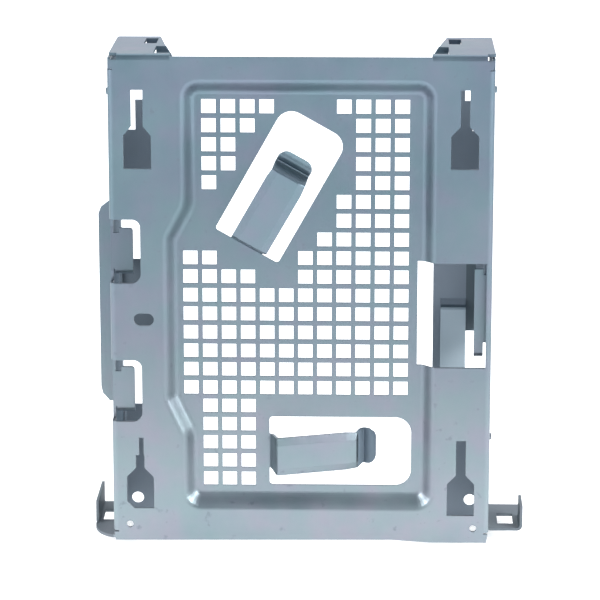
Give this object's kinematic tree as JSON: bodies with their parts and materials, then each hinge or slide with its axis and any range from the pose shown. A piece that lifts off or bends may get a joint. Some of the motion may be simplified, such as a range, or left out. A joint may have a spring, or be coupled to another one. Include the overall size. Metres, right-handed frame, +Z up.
{
  "type": "hard drive caddy",
  "caption": "Folded sheet steel caddy for a 3.5 inch hard drive: recessed perforated front, lanced spring clips, keyholes, folded side walls with rear flanges, slotted feet.",
  "frame": {"origin": "centre of the bounding box at its lowest point, under the lower ends of the rear flanges", "axes": "+Z up along the long side of the plate, -Y out of the front plate, +X to the right seen from the front"},
  "size_m": [0.1194, 0.039, 0.1383],
  "materials": {
    "zinc_steel": "zinc plated sheet, satin"
  },
  "bodies": {
    "root": {"drive_caddy": "zinc_steel"}
  },
  "joints": []
}
